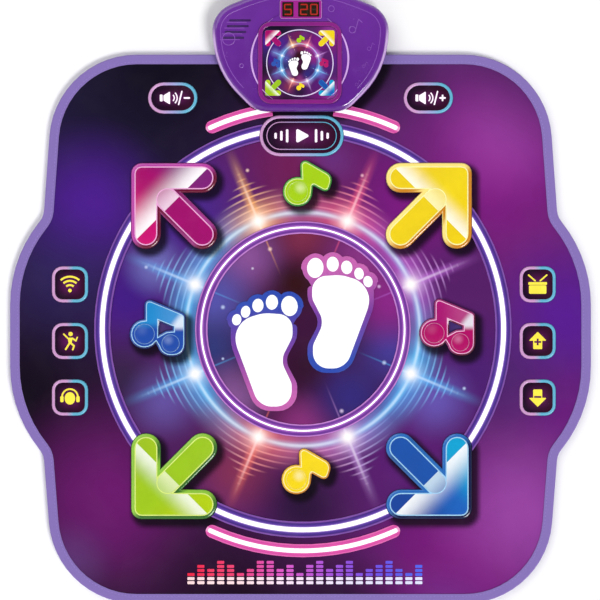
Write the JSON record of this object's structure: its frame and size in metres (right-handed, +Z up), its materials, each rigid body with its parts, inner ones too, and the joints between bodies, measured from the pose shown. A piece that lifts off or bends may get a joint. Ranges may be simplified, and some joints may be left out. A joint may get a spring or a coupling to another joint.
{
  "type": "electronic dance mat",
  "caption": "Flat padded dance mat with lit rings, raised arrow and note press pads, mat-top buttons and a battery console with a display on its upper edge.",
  "frame": {"origin": "on the floor, under the middle of the mat", "axes": "+Y up the mat towards the console, +X to the right of someone who faces the console, +Z up"},
  "size_m": [0.9006, 0.9541, 0.0374],
  "materials": {
    "base_cloth": "matt non-slip woven cloth",
    "foam": "closed-cell foam sheet",
    "film": "clear film with printed silver tracks",
    "cover_print": "satin printed vinyl, dark with violet and magenta glows",
    "binding": "woven lilac edge tape",
    "pad_magenta": "glossy moulded, light rim line",
    "pad_yellow": "glossy moulded, light rim line",
    "pad_blue": "glossy moulded, light rim line",
    "pad_green": "glossy moulded, light rim line",
    "button_dark": "dark maroon panel with a pink to cyan ring",
    "light_strip": "lit white line between violet borders",
    "accent_strip": "lit white line between pink borders",
    "footprint": "white with a blue to pink border",
    "console_shell": "glossy purple",
    "console_base": "satin dark purple",
    "frame_magenta": "glossy magenta",
    "picture_panel": "dark printed panel",
    "display_lens": "dark red window with lit digits",
    "black_plastic": "plain black",
    "board": "green circuit board",
    "steel": "bright zinc-plated steel",
    "speaker_paper": "black speaker cone",
    "battery": "plain printed sleeve"
  },
  "bodies": {
    "root": {"non_slip_base": "base_cloth", "foam_pad": "foam", "circuit_film": "film", "spacer_foam": "foam", "printed_cover": "cover_print", "edge_binding": "binding", "clamp_bar": "black_plastic", "circuit_tail": "film", "clamp_screw_left": "steel", "clamp_screw_right": "steel", "inner_light_ring": "light_strip", "footprint_left": "footprint", "footprint_right": "footprint", "console_front_cover": "console_shell", "console_back_cover": "console_base", "picture_frame": "frame_magenta", "picture_panel": "picture_panel", "display_lens": "display_lens", "display_bezel": "frame_magenta", "display_module": "black_plastic", "main_board": "board", "speaker_frame": "steel", "speaker_cone": "speaker_paper", "speaker_magnet": "steel", "battery_contact_left": "steel", "battery_contact_right": "steel", "outer_light_top_left": "light_strip", "outer_light_top_right": "light_strip", "outer_light_left": "light_strip", "outer_light_bottom": "light_strip", "outer_light_right": "light_strip", "accent_light_top_left": "accent_strip", "accent_light_top_right": "accent_strip", "accent_light_bottom": "accent_strip", "battery_1": "battery", "battery_2": "battery", "battery_3": "battery", "case_screw_1": "steel", "case_screw_2": "steel", "case_screw_3": "steel", "case_screw_4": "steel"},
    "arrow_pad_up_left": {"arrow_pad_up_left": "pad_magenta"},
    "arrow_pad_up_right": {"arrow_pad_up_right": "pad_yellow"},
    "arrow_pad_down_right": {"arrow_pad_down_right": "pad_blue"},
    "arrow_pad_down_left": {"arrow_pad_down_left": "pad_green"},
    "note_pad_top": {"note_pad_top": "pad_green"},
    "note_pad_bottom": {"note_pad_bottom": "pad_yellow"},
    "note_pad_left": {"note_pad_left": "pad_blue"},
    "note_pad_right": {"note_pad_right": "pad_magenta"},
    "start_button": {"start_button": "button_dark"},
    "volume_down_button": {"volume_down_button": "button_dark"},
    "volume_up_button": {"volume_up_button": "button_dark"},
    "side_button_left_top": {"side_button_left_top": "button_dark"},
    "side_button_left_middle": {"side_button_left_middle": "button_dark"},
    "side_button_left_bottom": {"side_button_left_bottom": "button_dark"},
    "side_button_right_top": {"side_button_right_top": "button_dark"},
    "side_button_right_middle": {"side_button_right_middle": "button_dark"},
    "side_button_right_bottom": {"side_button_right_bottom": "button_dark"},
    "battery_door": {"battery_door": "console_base"},
    "power_switch": {"power_switch": "black_plastic"}
  },
  "joints": [
    {"name": "arrow_pad_up_left_press", "type": "slide", "parent": "root", "child": "arrow_pad_up_left", "axis": [0, 0, 1], "range_m": [-0.0015, 0], "stiffness_N_per_m": 6000, "springref_m": 0.001},
    {"name": "arrow_pad_up_right_press", "type": "slide", "parent": "root", "child": "arrow_pad_up_right", "axis": [0, 0, 1], "range_m": [-0.0015, 0], "stiffness_N_per_m": 6000, "springref_m": 0.001},
    {"name": "arrow_pad_down_right_press", "type": "slide", "parent": "root", "child": "arrow_pad_down_right", "axis": [0, 0, 1], "range_m": [-0.0015, 0], "stiffness_N_per_m": 6000, "springref_m": 0.001},
    {"name": "arrow_pad_down_left_press", "type": "slide", "parent": "root", "child": "arrow_pad_down_left", "axis": [0, 0, 1], "range_m": [-0.0015, 0], "stiffness_N_per_m": 6000, "springref_m": 0.001},
    {"name": "note_pad_top_press", "type": "slide", "parent": "root", "child": "note_pad_top", "axis": [0, 0, 1], "range_m": [-0.0015, 0], "stiffness_N_per_m": 4000, "springref_m": 0.001},
    {"name": "note_pad_bottom_press", "type": "slide", "parent": "root", "child": "note_pad_bottom", "axis": [0, 0, 1], "range_m": [-0.0015, 0], "stiffness_N_per_m": 4000, "springref_m": 0.001},
    {"name": "note_pad_left_press", "type": "slide", "parent": "root", "child": "note_pad_left", "axis": [0, 0, 1], "range_m": [-0.0015, 0], "stiffness_N_per_m": 4000, "springref_m": 0.001},
    {"name": "note_pad_right_press", "type": "slide", "parent": "root", "child": "note_pad_right", "axis": [0, 0, 1], "range_m": [-0.0015, 0], "stiffness_N_per_m": 4000, "springref_m": 0.001},
    {"name": "start_button_press", "type": "slide", "parent": "root", "child": "start_button", "axis": [0, 0, 1], "range_m": [-0.0015, 0], "stiffness_N_per_m": 2000, "springref_m": 0.001},
    {"name": "volume_down_button_press", "type": "slide", "parent": "root", "child": "volume_down_button", "axis": [0, 0, 1], "range_m": [-0.0015, 0], "stiffness_N_per_m": 2000, "springref_m": 0.001},
    {"name": "volume_up_button_press", "type": "slide", "parent": "root", "child": "volume_up_button", "axis": [0, 0, 1], "range_m": [-0.0015, 0], "stiffness_N_per_m": 2000, "springref_m": 0.001},
    {"name": "side_button_left_top_press", "type": "slide", "parent": "root", "child": "side_button_left_top", "axis": [0, 0, 1], "range_m": [-0.0015, 0], "stiffness_N_per_m": 2000, "springref_m": 0.001},
    {"name": "side_button_left_middle_press", "type": "slide", "parent": "root", "child": "side_button_left_middle", "axis": [0, 0, 1], "range_m": [-0.0015, 0], "stiffness_N_per_m": 2000, "springref_m": 0.001},
    {"name": "side_button_left_bottom_press", "type": "slide", "parent": "root", "child": "side_button_left_bottom", "axis": [0, 0, 1], "range_m": [-0.0015, 0], "stiffness_N_per_m": 2000, "springref_m": 0.001},
    {"name": "side_button_right_top_press", "type": "slide", "parent": "root", "child": "side_button_right_top", "axis": [0, 0, 1], "range_m": [-0.0015, 0], "stiffness_N_per_m": 2000, "springref_m": 0.001},
    {"name": "side_button_right_middle_press", "type": "slide", "parent": "root", "child": "side_button_right_middle", "axis": [0, 0, 1], "range_m": [-0.0015, 0], "stiffness_N_per_m": 2000, "springref_m": 0.001},
    {"name": "side_button_right_bottom_press", "type": "slide", "parent": "root", "child": "side_button_right_bottom", "axis": [0, 0, 1], "range_m": [-0.0015, 0], "stiffness_N_per_m": 2000, "springref_m": 0.001},
    {"name": "battery_door_hinge", "type": "hinge", "parent": "root", "child": "battery_door", "pos_m": [0, 0.48685, 0.0014], "axis": [1, 0, 0], "range_deg": [0, 100]},
    {"name": "power_switch_slide", "type": "slide", "parent": "root", "child": "power_switch", "axis": [1, 0, 0], "range_m": [0, 0.005]}
  ]
}
